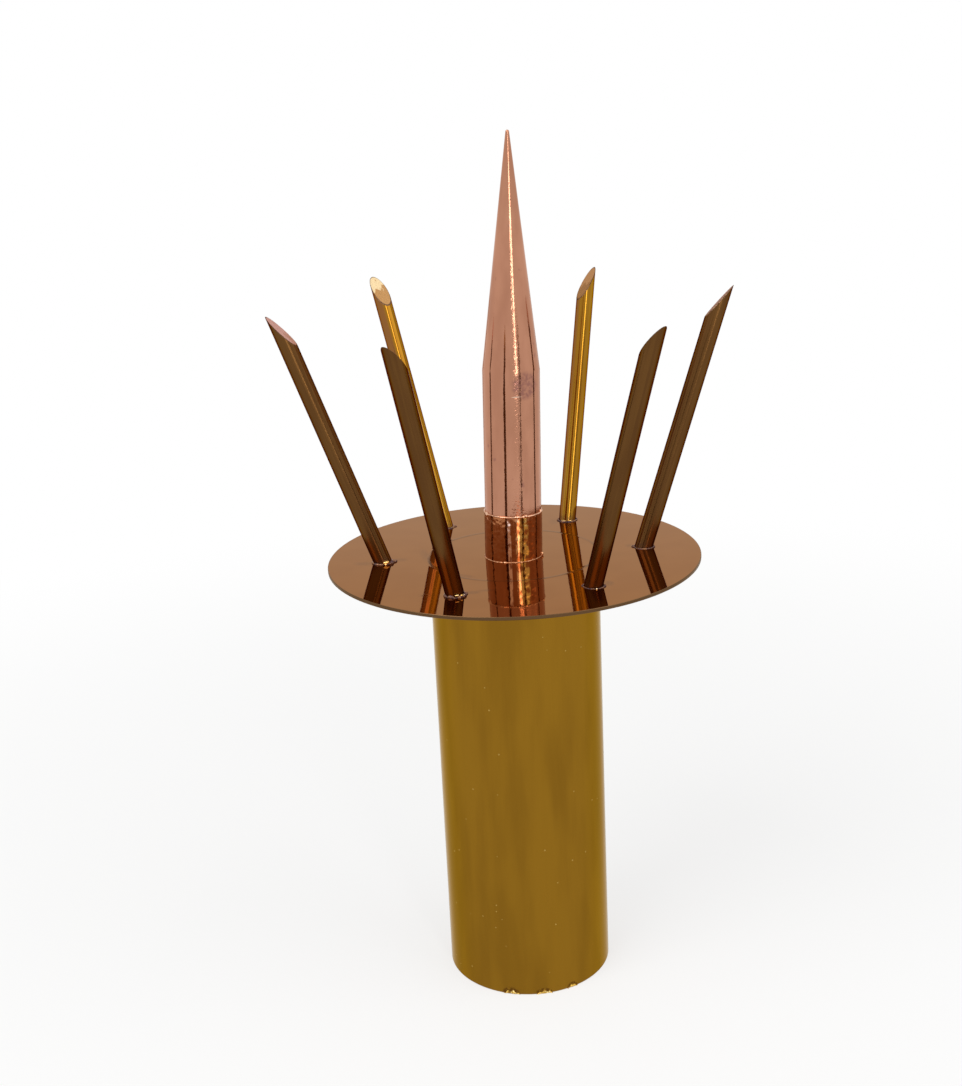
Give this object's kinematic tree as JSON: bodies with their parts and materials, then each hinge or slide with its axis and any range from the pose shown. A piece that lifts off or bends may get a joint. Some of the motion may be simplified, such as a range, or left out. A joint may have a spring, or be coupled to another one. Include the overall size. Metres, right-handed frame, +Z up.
{
  "type": "lightning rod",
  "caption": "Lightning rod head: a socket tube that drops over a mast, a thin round plate, a tapered copper spike in a collar and a crown of leaning side points.",
  "frame": {"origin": "centre of the tube's open mouth, where the part stands", "axes": "+Z up along the tube towards the spike's tip, -Y towards the viewer of the front"},
  "size_m": [0.1995, 0.1819, 0.3844],
  "materials": {
    "tube_brass": "mirror polished",
    "plate_bronze": "mirror polished",
    "point_brass": "polished",
    "spike_copper": "turned and polished",
    "collar_copper": "polished",
    "dark_braze": "heat stained"
  },
  "bodies": {
    "root": {"body_tube": "tube_brass", "tube_weld": "dark_braze", "top_plate": "plate_bronze", "spike": "spike_copper", "spike_collar": "collar_copper", "spike_braze": "collar_copper", "collar_braze": "dark_braze", "side_point_1": "point_brass", "side_point_2": "point_brass", "side_point_3": "point_brass", "side_point_4": "point_brass", "side_point_5": "point_brass", "side_point_6": "point_brass", "point_weld_1": "dark_braze", "point_weld_2": "dark_braze", "point_weld_3": "dark_braze", "point_weld_4": "dark_braze", "point_weld_5": "dark_braze", "point_weld_6": "dark_braze"}
  },
  "joints": []
}
